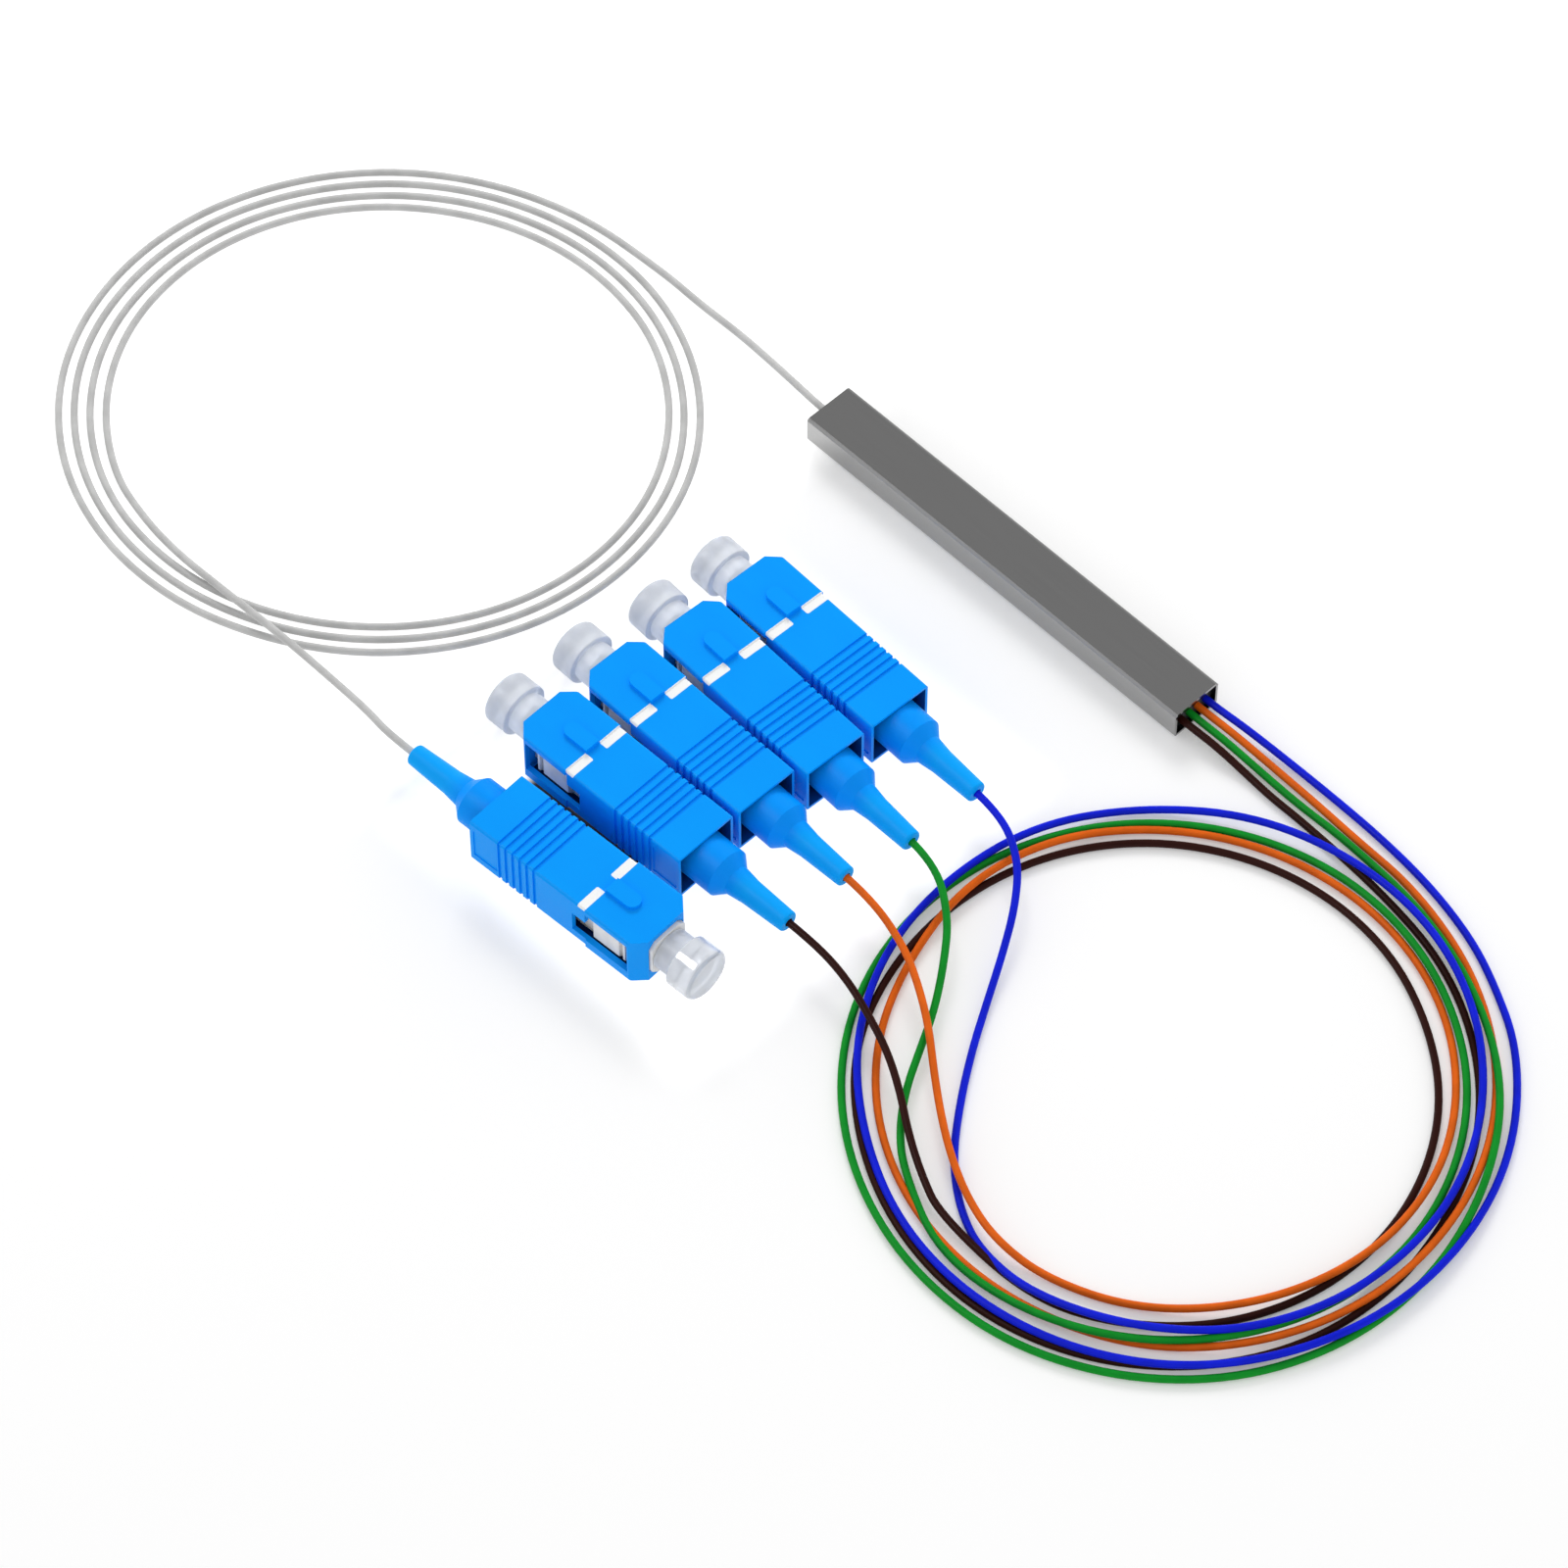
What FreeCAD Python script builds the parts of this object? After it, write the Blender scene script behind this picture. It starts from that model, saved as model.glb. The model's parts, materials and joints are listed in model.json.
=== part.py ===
import FreeCAD, Part
import math
import os
import re

import Sketcher

os.makedirs("parts", exist_ok=True)
doc = FreeCAD.newDocument("fibre_splitter")
Vector = FreeCAD.Vector

# Driving dimensions in millimetres, degrees or plain counts

SIZES = {
    # Steel sleeve and what it holds
    "sleeve_length": 60.0,
    "sleeve_width": 7.0,
    "sleeve_height": 4.0,
    "sleeve_wall": 0.35,
    "sleeve_corner": 0.5,
    "seal_depth": 4.0,
    "seal_inset": 0.6,
    "seal_hole_depth": 2.0,
    "chip_length": 12.0,
    "chip_width": 2.5,
    "chip_height": 2.3,
    "block_length": 5.0,
    # Fibres
    "fibre_diameter": 0.9,
    "fibre_pitch": 1.35,
    "input_exit_height": 2.0,
    "output_exit_height": 1.7,
    "cord_gap": 0.02,
    "straight_exit": 4.0,
    # Grip of the plug; lengths run from the painted line
    "grip_front": 8.6,
    "grip_back": 17.4,
    "grip_width": 9.0,
    "grip_height": 7.4,
    "grip_wall": 0.75,
    "grip_corner": 1.6,
    "grip_edge": 0.35,
    "step_place": -0.4,
    "step_depth": 0.15,
    "tail_wall": 0.4,
    "tail_depth": 4.4,
    "key_width": 2.1,
    "key_length": 4.2,
    "key_rise": 0.45,
    "lip_edge": 0.1,
    "window_front": 6.8,
    "window_back": 0.3,
    "window_low": 2.1,
    "window_high": 2.8,
    "slot_back": 1.7,
    "slot_high": 1.0,
    "rib_place": 7.2,
    "rib_pitch": 1.08,
    "rib_groove": 0.5,
    "rib_depth": 0.22,
    "rib_count": 6,
    "panel_margin": 0.5,
    "panel_length": 3.6,
    "panel_height": 4.6,
    "panel_depth": 0.12,
    # Plug frame
    "frame_fit": 0.12,
    "frame_front": 9.0,
    "frame_nose_back": 5.7,
    "frame_back": 9.0,
    "frame_corner": 0.9,
    "mouth_radius": 2.3,
    "mouth_depth": 8.5,
    "wall_thickness": 1.0,
    "chamber_radius": 2.3,
    "frame_notch": 0.6,
    "frame_notch_depth": 0.5,
    "frame_notch_place": 5.4,
    "waist_front": 0.9,
    "waist_depth": 0.8,
    # Ferrule, collar and spring
    "ferrule_radius": 1.25,
    "ferrule_fit": 0.06,
    "ferrule_tip": 10.2,
    "ferrule_chamfer": 0.4,
    "collar_fit": 0.1,
    "collar_length": 2.5,
    "collar_stem": 2.2,
    "stem_radius": 1.05,
    "stem_bore_radius": 0.5,
    "spring_gap": 0.15,
    "spring_length": 3.4,
    "fit_gap": 0.02,
    # Rear body
    "stop_flange_radius": 2.7,
    "stop_flange_back": 14.2,
    "neck_radius": 1.7,
    "neck_back": 19.0,
    "stop_wall": 1.0,
    "bore_radius": 0.55,
    # Boot
    "bell_radius": 3.05,
    "bell_front": 14.4,
    "bell_back": 20.7,
    "shoulder_radius": 1.85,
    "shoulder_back": 22.1,
    "nose_radius": 1.55,
    "nose_back": 24.4,
    "tip_radius": 1.3,
    "boot_back": 30.3,
    "nose_round": 0.3,
    # Dust cap
    "cap_radius": 3.3,
    "cap_front": 14.9,
    "cap_head": 3.4,
    "cap_round": 0.6,
    "cap_back_round": 0.2,
    "cap_neck_radius": 2.6,
    "cap_sleeve_radius": 1.75,
    "cap_sleeve_reach": 1.2,
    "cap_bore_fit": 0.05,
    "cap_gap": 0.1,
    # Where the plugs lie: place of the painted line, and the way the boot points
    "input_x": 3.5,
    "input_y": -67.05,
    "input_turn": -176.5,
    "brown_x": -10.9,
    "brown_y": -55.55,
    "brown_turn": 1.8,
    "orange_x": -10.8,
    "orange_y": -45.55,
    "orange_turn": -0.3,
    "green_x": -9.1,
    "green_y": -35.65,
    "green_turn": -2.6,
    "blue_x": -8.7,
    "blue_y": -26.05,
    "blue_turn": -1.9,
    # Coils, measured at the fibres' middle lines
    "input_coil_x": -68.0,
    "input_coil_y": -36.7,
    "input_coil_outer": 38.0,
    "input_coil_inner": 31.6,
    "output_coil_x": 62.8,
    "output_coil_y": -37.6,
    "output_coil_outer": 38.0,
    "output_coil_inner": 28.4,
}

sheet = doc.addObject("Spreadsheet::Sheet", "Sizes")
for row, (alias, size) in enumerate(SIZES.items(), start=1):
    sheet.set(f"A{row}", alias.replace("_", " "))
    sheet.set(f"B{row}", str(size))
    sheet.setAlias(f"B{row}", alias)
doc.recompute()


def cells(text):
    """An expression over the sheet: each word in it is a cell's name."""
    return re.sub(r"[a-z][a-z_]+", r"Sizes.\g<0>", text)


def size(text):
    """The value of an expression over the sheet."""
    return float(sheet.evalExpression(cells(text)))


# Building blocks for bodies

# How far a cut reaches past the face that it opens, in millimetres
PAST = "1"


def new_body(name):
    body = doc.addObject("PartDesign::Body", name)
    body.Label = name
    return body


def origin_plane(body, role):
    return [item for item in body.Origin.OriginFeatures if item.Role == role][0]


def new_sketch(body, name, role, lift="0"):
    """A sketch on one of the body's origin planes, lifted along the plane's normal."""
    sketch = body.newObject("Sketcher::SketchObject", name)
    sketch.AttachmentSupport = [(origin_plane(body, role), "")]
    sketch.MapMode = "FlatFace"
    sketch.setExpression("AttachmentOffset.Base.z", cells(lift))
    return sketch


def hold(sketch, edge, point, x_text, y_text):
    """Hold one point of a sketch by two dimensions from the sketch's origin."""
    for kind, text in (("DistanceX", x_text), ("DistanceY", y_text)):
        index = sketch.addConstraint(Sketcher.Constraint(kind, -1, 1, edge, point, size(text)))
        sketch.setExpression(f"Constraints[{index}]", cells(text))


def draw_outline(sketch, corners):
    """A closed outline of straight edges; each corner is a pair of expressions."""
    places = [Vector(size(x_text), size(y_text), 0) for x_text, y_text in corners]
    first = sketch.GeometryCount
    count = len(places)
    for index in range(count):
        sketch.addGeometry(Part.LineSegment(places[index], places[(index + 1) % count]))
    for index in range(count):
        following = first + (index + 1) % count
        sketch.addConstraint(Sketcher.Constraint("Coincident", first + index, 2, following, 1))
    for index, (x_text, y_text) in enumerate(corners):
        hold(sketch, first + index, 1, x_text, y_text)


def rectangle(x_low, x_high, y_low, y_high):
    return [(x_low, y_low), (x_high, y_low), (x_high, y_high), (x_low, y_high)]


def centred(width, height):
    return rectangle(f"-({width}) / 2", f"({width}) / 2", f"-({height}) / 2", f"({height}) / 2")


def cut_corners(across, up, cut):
    """A centred outline with cut corners, from its half width and half height."""
    return [
        (across, f"-({up} - {cut})"), (across, f"{up} - {cut}"),
        (f"{across} - {cut}", up), (f"-({across} - {cut})", up),
        (f"-({across})", f"{up} - {cut}"), (f"-({across})", f"-({up} - {cut})"),
        (f"-({across} - {cut})", f"-({up})"), (f"{across} - {cut}", f"-({up})"),
    ]


def add_pad(body, name, sketch, length, both_ways=False):
    pad = body.newObject("PartDesign::Pad", name)
    pad.Profile = sketch
    pad.setExpression("Length", cells(length))
    if both_ways:
        pad.SideType = "Symmetric"
    sketch.Visibility = False
    return pad


def add_pocket(body, name, sketch, length, both_ways=False, backwards=False):
    """A pocket; backwards cuts along the sketch's normal, and it must remove material."""
    doc.recompute()
    before = body.Shape.Volume
    pocket = body.newObject("PartDesign::Pocket", name)
    pocket.Profile = sketch
    pocket.setExpression("Length", cells(length))
    pocket.Reversed = backwards
    if both_ways:
        pocket.SideType = "Symmetric"
    doc.recompute()
    if body.Shape.Volume >= before:
        raise RuntimeError(f"{name} in {body.Label} cuts nothing")
    return pocket


def add_turned(body, name, corners):
    """A turned solid about the body's X axis; corners are pairs of place along it and radius."""
    sketch = new_sketch(body, f"{name}_profile", "XY_Plane")
    draw_outline(sketch, corners)
    turned = body.newObject("PartDesign::Revolution", name)
    turned.Profile = sketch
    turned.ReferenceAxis = (sketch, ["H_Axis"])
    doc.recompute()
    return turned


def edges_where(shape, test):
    """Names of the edges whose middle point passes a test."""
    found = []
    for index, edge in enumerate(shape.Edges, start=1):
        middle = edge.valueAt((edge.FirstParameter + edge.LastParameter) / 2)
        if test(edge, middle):
            found.append(f"Edge{index}")
    return found


def add_round(body, name, test, radius):
    """Round the edges of the body's last feature that pass a test."""
    doc.recompute()
    base = body.Tip
    names = edges_where(base.Shape, test)
    if not names:
        raise RuntimeError(f"{name} in {body.Label} finds no edge")
    fillet = body.newObject("PartDesign::Fillet", name)
    fillet.Base = (base, names)
    fillet.setExpression("Radius", cells(radius))
    doc.recompute()
    return fillet


def runs_along_x(edge):
    ends = [vertex.Point for vertex in edge.Vertexes]
    return len(ends) == 2 and (ends[1] - ends[0]).cross(Vector(1, 0, 0)).Length < 1e-6


def circle_at(x_place, radius):
    """A test for a circle about the X axis with this place and radius."""

    def test(edge, middle):
        same_place = abs(middle.x - size(x_place)) < 1e-4
        return same_place and abs(math.hypot(middle.y, middle.z) - size(radius)) < 1e-4

    return test


# Splitter module


def make_sleeve():
    body = new_body("steel_tube")
    outer = new_sketch(body, "sleeve_outline", "YZ_Plane")
    draw_outline(outer, centred("sleeve_width", "sleeve_height"))
    add_pad(body, "sleeve_pad", outer, "sleeve_length", both_ways=True)
    add_round(body, "sleeve_corners", lambda edge, middle: runs_along_x(edge), "sleeve_corner")
    inner = new_sketch(body, "sleeve_bore", "YZ_Plane")
    draw_outline(inner, centred("sleeve_width - 2 * sleeve_wall", "sleeve_height - 2 * sleeve_wall"))
    add_pocket(body, "sleeve_hollow", inner, f"sleeve_length + {PAST}", both_ways=True)
    body.setExpression("Placement.Base.z", cells("sleeve_height / 2"))
    return body


def bound_box(name, length, width, height):
    box = doc.addObject("Part::Box", name)
    box.Label = name
    for side, text in (("Length", length), ("Width", width), ("Height", height)):
        box.setExpression(side, cells(text))
    return box


def place(item, x_text, y_text, z_text):
    for axis, text in (("x", x_text), ("y", y_text), ("z", z_text)):
        item.setExpression(f"Placement.Base.{axis}", cells(text))


def make_seal(name, side, fibre_rows, exit_height):
    """The glue plug in one end of the sleeve, with a hole for each fibre; side is 1 or -1."""
    body = new_body(name)
    face = "sleeve_length / 2 - seal_inset"
    outline = new_sketch(body, f"{name}_outline", "YZ_Plane", f"{side} * ({face})")
    draw_outline(outline, centred("sleeve_width - 2 * (sleeve_wall + fit_gap)",
                                  "sleeve_height - 2 * (sleeve_wall + fit_gap)"))
    pad = add_pad(body, f"{name}_pad", outline, "seal_depth")
    pad.Reversed = side > 0
    doc.recompute()
    holes = new_sketch(body, f"{name}_holes", "YZ_Plane", f"{side} * ({face})")
    for row_text in fibre_rows:
        height_text = f"{exit_height} - sleeve_height / 2"
        middle = Vector(size(row_text), size(height_text), 0)
        circle = Part.Circle(middle, Vector(0, 0, 1), size("fibre_diameter / 2 + cord_gap"))
        index = holes.addGeometry(circle)
        hold(holes, index, 3, row_text, height_text)
        radius = holes.addConstraint(Sketcher.Constraint("Radius", index, circle.Radius))
        holes.setExpression(f"Constraints[{radius}]", cells("fibre_diameter / 2 + cord_gap"))
    add_pocket(body, f"{name}_bores", holes, "seal_hole_depth", backwards=side < 0)
    body.setExpression("Placement.Base.z", cells("sleeve_height / 2"))
    return body


def make_chip_parts():
    """The waveguide chip and the two glass blocks that hold the fibres against its ends."""
    floor_gap = "sleeve_wall + fit_gap"
    chip = bound_box("plc_chip", "chip_length", "chip_width", "chip_height")
    place(chip, "-chip_length / 2", "-chip_width / 2", floor_gap)
    input_block = bound_box("input_fibre_block", "block_length", "chip_width", "chip_height")
    place(input_block, "-chip_length / 2 - fit_gap - block_length", "-chip_width / 2", floor_gap)
    output_block = bound_box("output_fibre_block", "block_length", "chip_width", "chip_height")
    place(output_block, "chip_length / 2 + fit_gap", "-chip_width / 2", floor_gap)
    return [chip, input_block, output_block]


# Plug pieces; each is drawn about its own axis, with the painted line at x = 0

PLUGS = ("input", "brown", "orange", "green", "blue")

# Half the size of the grip's front opening, which is narrower than the hollow behind it
LIP_ACROSS = "(grip_width / 2 - grip_corner - lip_edge)"
LIP_UP = "(grip_height / 2 - grip_wall)"


def put_on_plug(body, plug):
    """Lay a plug's piece where its plug lies on the table, at the height of the plug's axis."""
    place(body, f"{plug}_x", f"{plug}_y", "grip_height / 2")
    body.setExpression("Placement.Rotation.Yaw", cells(f"{plug}_turn"))
    return body


def make_grip(plug):
    body = new_body(f"{plug}_grip")
    front = new_sketch(body, "front_outline", "XY_Plane")
    half = "grip_width / 2"
    draw_outline(front, [
        ("-grip_front", f"{half} - grip_corner"),
        ("-grip_front", f"-({half} - grip_corner)"),
        ("grip_corner - grip_front", f"-({half})"),
        ("step_place", f"-({half})"),
        ("step_place", half),
        ("grip_corner - grip_front", half),
    ])
    add_pad(body, "front_block", front, "grip_height", both_ways=True)
    back = new_sketch(body, "back_outline", "XY_Plane")
    narrow = f"{half} - step_depth"
    draw_outline(back, rectangle("step_place", "grip_back", f"-({narrow})", narrow))
    add_pad(body, "back_block", back, "grip_height - 2 * step_depth", both_ways=True)
    add_round(body, "long_edges", lambda edge, middle: runs_along_x(edge), "grip_edge")
    grooves = new_sketch(body, "rib_outline", "YZ_Plane", "rib_place")
    outer = (f"grip_width + {PAST}", f"grip_height + {PAST}")
    inner = ("grip_width - 2 * (step_depth + rib_depth)", "grip_height - 2 * (step_depth + rib_depth)")
    draw_outline(grooves, centred(*outer))
    draw_outline(grooves, centred(*inner))
    groove = add_pocket(body, "rib_groove", grooves, "rib_groove", backwards=True)
    pattern = body.newObject("PartDesign::LinearPattern", "rib_grooves")
    pattern.Originals = [groove]
    pattern.Direction = (grooves, ["N_Axis"])
    pattern.Mode = "Spacing"
    pattern.setExpression("Offset", cells("rib_pitch"))
    pattern.setExpression("Occurrences", cells("rib_count"))
    body.Tip = pattern
    lip_back = "grip_corner - grip_front"
    hollow = new_sketch(body, "hollow_outline", "YZ_Plane", lip_back)
    draw_outline(hollow, centred("grip_width - 2 * grip_wall", "grip_height - 2 * grip_wall"))
    add_pocket(body, "hollow", hollow, f"grip_back - ({lip_back}) + {PAST}", backwards=True)
    opening = new_sketch(body, "opening_outline", "YZ_Plane", lip_back)
    draw_outline(opening, cut_corners(LIP_ACROSS, LIP_UP, "frame_corner"))
    add_pocket(body, "front_opening", opening, f"grip_corner + {PAST}")
    tail = new_sketch(body, "tail_outline", "YZ_Plane", "grip_back - tail_depth")
    draw_outline(tail, centred("grip_width - 2 * (step_depth + tail_wall)",
                               "grip_height - 2 * (step_depth + tail_wall)"))
    add_pocket(body, "tail_hollow", tail, f"tail_depth + {PAST}", backwards=True)
    window = new_sketch(body, "window_outline", "XZ_Plane")
    draw_outline(window, [
        ("-window_front", "-window_low"), ("slot_back", "-window_low"), ("slot_back", "slot_high"),
        ("-window_back", "slot_high"), ("-window_back", "window_high"),
        ("-window_front", "window_high"),
    ])
    add_pocket(body, "windows", window, f"grip_width + {PAST}", both_ways=True)
    for side in (-1, 1):
        panel = new_sketch(body, f"panel_{side + 2}", "XZ_Plane", f"{side} * ({narrow})")
        draw_outline(panel, rectangle("grip_back - panel_margin - panel_length",
                                      "grip_back - panel_margin",
                                      "-panel_height / 2", "panel_height / 2"))
        add_pocket(body, f"panel_cut_{side + 2}", panel, "panel_depth", backwards=side < 0)
    add_key(body)
    return put_on_plug(body, plug)


def add_key(body):
    """The raised key on top: a rib with a round front end, which runs back to the step."""
    sketch = new_sketch(body, "key_outline", "XY_Plane", "grip_height / 2 - grip_wall / 2")
    half = size("key_width / 2")
    nose_text = "step_place + key_width / 2 - key_length"
    nose, back = size(nose_text), size("step_place")
    corners = [Vector(nose, -half, 0), Vector(back, -half, 0), Vector(back, half, 0),
               Vector(nose, half, 0)]
    for index in range(3):
        sketch.addGeometry(Part.LineSegment(corners[index], corners[index + 1]))
    round_end = Part.Circle(Vector(nose, 0, 0), Vector(0, 0, 1), half)
    sketch.addGeometry(Part.ArcOfCircle(round_end, math.pi / 2, 3 * math.pi / 2))
    for index in range(2):
        sketch.addConstraint(Sketcher.Constraint("Coincident", index, 2, index + 1, 1))
    sketch.addConstraint(Sketcher.Constraint("Coincident", 2, 2, 3, 1))
    sketch.addConstraint(Sketcher.Constraint("Coincident", 3, 2, 0, 1))
    for edge, x_text, y_text in ((0, nose_text, "-key_width / 2"),
                                 (1, "step_place", "-key_width / 2"),
                                 (2, "step_place", "key_width / 2")):
        hold(sketch, edge, 1, x_text, y_text)
    hold(sketch, 3, 3, nose_text, "0")
    add_pad(body, "key", sketch, "grip_wall / 2 + key_rise")


def make_frame(plug):
    body = new_body(f"{plug}_frame")
    width = "(grip_width - 2 * grip_wall - 2 * frame_fit)"
    height = "(grip_height - 2 * grip_wall - 2 * frame_fit)"
    across, up = f"{width} / 2", f"{height} / 2"
    outline = new_sketch(body, "frame_outline", "YZ_Plane", "-frame_nose_back")
    draw_outline(outline, cut_corners(across, up, "frame_corner"))
    add_pad(body, "frame_block", outline, "frame_nose_back + frame_back")
    nose = new_sketch(body, "nose_outline", "YZ_Plane", "-frame_nose_back")
    draw_outline(nose, cut_corners(f"({LIP_ACROSS} - frame_fit)", f"({LIP_UP} - frame_fit)",
                                   "frame_corner"))
    nose_pad = add_pad(body, "nose_block", nose, "frame_front - frame_nose_back")
    nose_pad.Reversed = True
    side_cuts = (
        ("notch", "-frame_notch_place", "frame_notch - frame_notch_place", "frame_notch_depth"),
        ("waist", "-waist_front", f"frame_back + {PAST}", "waist_depth"),
    )
    for name, low, high, depth in side_cuts:
        for side in (-1, 1):
            cut = new_sketch(body, f"{name}_{side + 2}", "XZ_Plane", f"{side} * {across}")
            draw_outline(cut, rectangle(low, high, f"-{height}", height))
            add_pocket(body, f"{name}_cut_{side + 2}", cut, depth, backwards=side < 0)
    bore = new_sketch(body, "bore_profile", "XY_Plane")
    mouth_end = "(mouth_depth - frame_front)"
    chamber = f"({mouth_end} + wall_thickness)"
    before, behind = f"-frame_front - {PAST}", f"frame_back + {PAST}"
    draw_outline(bore, [
        (before, "0"), (before, "mouth_radius"), (mouth_end, "mouth_radius"),
        (mouth_end, "ferrule_radius + ferrule_fit"), (chamber, "ferrule_radius + ferrule_fit"),
        (chamber, "chamber_radius"), (behind, "chamber_radius"), (behind, "0"),
    ])
    groove = body.newObject("PartDesign::Groove", "bore")
    groove.Profile = bore
    groove.ReferenceAxis = (bore, ["H_Axis"])
    return put_on_plug(body, plug)


COLLAR_FRONT = "(mouth_depth - frame_front + wall_thickness + fit_gap)"
COLLAR_BACK = f"({COLLAR_FRONT} + collar_length)"
FERRULE_BACK = f"({COLLAR_FRONT} + collar_length / 2)"
STEM_BACK = f"({COLLAR_BACK} + collar_stem)"
STOP_FRONT = f"({COLLAR_BACK} + fit_gap + spring_length + fit_gap)"


def make_ferrule(plug):
    body = new_body(f"{plug}_ferrule")
    add_turned(body, "ferrule", [
        ("-ferrule_tip", "0"), ("-ferrule_tip", "ferrule_radius - ferrule_chamfer"),
        ("ferrule_chamfer - ferrule_tip", "ferrule_radius"), (FERRULE_BACK, "ferrule_radius"),
        (FERRULE_BACK, "0"),
    ])
    return put_on_plug(body, plug)


def make_collar(plug):
    """The metal collar on the ferrule's back end, with a stem inside the spring."""
    body = new_body(f"{plug}_flange")
    outer = "chamber_radius - collar_fit"
    seat = "ferrule_radius + fit_gap"
    seat_back = f"{FERRULE_BACK} + fit_gap"
    hole = "stem_bore_radius"
    add_turned(body, "collar", [
        (COLLAR_FRONT, seat), (COLLAR_FRONT, outer), (COLLAR_BACK, outer),
        (COLLAR_BACK, "stem_radius"), (STEM_BACK, "stem_radius"), (STEM_BACK, hole),
        (seat_back, hole), (seat_back, seat),
    ])
    return put_on_plug(body, plug)


def make_spring(plug):
    """The spring's outer shape, from the collar to the rear body."""
    body = new_body(f"{plug}_spring")
    front = f"{COLLAR_BACK} + fit_gap"
    back = f"{front} + spring_length"
    add_turned(body, "spring", rectangle(front, back, "stem_radius + spring_gap",
                                         "chamber_radius - spring_gap"))
    return put_on_plug(body, plug)


def make_stop(plug):
    """The metal rear body: its front is pressed into the frame, and the boot's neck is on its back."""
    body = new_body(f"{plug}_stop")
    plug_radius = "chamber_radius - fit_gap"
    flange_front = "frame_back + fit_gap"
    bore = "stem_radius + spring_gap"
    bore_back = "stop_flange_back - stop_wall"
    add_turned(body, "stop", [
        (STOP_FRONT, bore), (STOP_FRONT, plug_radius), (flange_front, plug_radius),
        (flange_front, "stop_flange_radius"), ("stop_flange_back", "stop_flange_radius"),
        ("stop_flange_back", "neck_radius"), ("neck_back", "neck_radius"),
        ("neck_back", "bore_radius"), (bore_back, "bore_radius"), (bore_back, bore),
    ])
    return put_on_plug(body, plug)


def make_boot(plug):
    body = new_body(f"{plug}_boot")
    socket = "neck_radius + fit_gap"
    socket_back = "neck_back + fit_gap"
    hole = "bore_radius"
    add_turned(body, "boot", [
        ("bell_front", socket), ("bell_front", "bell_radius"), ("bell_back", "bell_radius"),
        ("shoulder_back", "shoulder_radius"), ("nose_back", "nose_radius"),
        ("boot_back", "tip_radius"), ("boot_back", hole), (socket_back, hole),
        (socket_back, socket),
    ])
    add_round(body, "nose_round", circle_at("boot_back", "tip_radius"), "nose_round")
    return put_on_plug(body, plug)


def make_cap(plug):
    """The dust cap: a head, a neck, and a sleeve with a blind bore over the ferrule."""
    body = new_body(f"{plug}_cap")
    head_back = "cap_head - cap_front"
    neck_back = "-(frame_front + cap_gap)"
    sleeve_back = "cap_sleeve_reach - frame_front"
    bore_front = "-ferrule_tip - cap_gap"
    bore = "ferrule_radius + cap_bore_fit"
    add_turned(body, "cap", [
        ("-cap_front", "0"), ("-cap_front", "cap_radius"), (head_back, "cap_radius"),
        (head_back, "cap_neck_radius"), (neck_back, "cap_neck_radius"),
        (neck_back, "cap_sleeve_radius"), (sleeve_back, "cap_sleeve_radius"),
        (sleeve_back, bore), (bore_front, bore), (bore_front, "0"),
    ])
    add_round(body, "head_round", circle_at("-cap_front", "cap_radius"), "cap_round")
    add_round(body, "head_back_round", circle_at(head_back, "cap_radius"), "cap_back_round")
    return put_on_plug(body, plug)


# Fibres


# The share of the shorter run that an arc takes at each bend, so that two arcs never meet
ARC_SHARE = 0.45
# How far a lead runs straight past the sleeve's end, in millimetres
STRAIGHT_LEAD = 1.0


def unit(vector):
    return vector * (1 / vector.Length)


def rounded_route(points):
    """Straight runs joined by tangent arcs, each as large as its two shorter runs allow."""
    edges = []
    radii = []
    start = points[0]
    for before, corner, after in zip(points, points[1:], points[2:]):
        inward, outward = unit(before - corner), unit(after - corner)
        turn = math.pi - inward.getAngle(outward)
        reach = ARC_SHARE * min((before - corner).Length, (after - corner).Length)
        radius = reach / math.tan(turn / 2)
        first, last = corner + inward * reach, corner + outward * reach
        bisector = unit(inward + outward)
        centre = corner + bisector * math.hypot(reach, radius)
        middle = centre - bisector * radius
        edges.append(Part.LineSegment(start, first).toShape())
        edges.append(Part.Arc(first, middle, last).toShape())
        radii.append(radius)
        start = last
    edges.append(Part.LineSegment(start, points[-1]).toShape())
    return Part.Wire(edges), radii


def make_cord(name, points):
    """A fibre's tube along a route of hand-chosen points."""
    path, radii = rounded_route(points)
    radius = size("fibre_diameter") / 2
    ring = Part.Circle(points[0], unit(points[1] - points[0]), radius)
    tube = path.makePipeShell([Part.Wire(ring.toShape())], True, False, 2)
    expected = math.pi * radius ** 2 * path.Length
    print(f"{name}: length {path.Length:.1f}, tightest radius {min(radii):.1f}, "
          f"volume {tube.Volume / expected:.4f} of its section times its length")
    feature = doc.addObject("Part::Feature", name)
    feature.Label = name
    feature.Shape = tube
    return feature


def make_coil(name):
    """The outer shape of a coil's turns: a flat ring on the table, one fibre high."""
    rim = doc.addObject("Part::Cylinder", f"{name}_rim")
    rim.setExpression("Radius", cells(f"{name}_outer + fibre_diameter / 2"))
    rim.setExpression("Height", cells("fibre_diameter"))
    hole = doc.addObject("Part::Cylinder", f"{name}_hole")
    hole.setExpression("Radius", cells(f"{name}_inner - fibre_diameter / 2"))
    hole.setExpression("Height", cells("fibre_diameter"))
    ring = doc.addObject("Part::Cut", name)
    ring.Base = rim
    ring.Tool = hole
    ring.Label = name
    place(ring, f"{name}_x", f"{name}_y", "0")
    return ring


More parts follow.
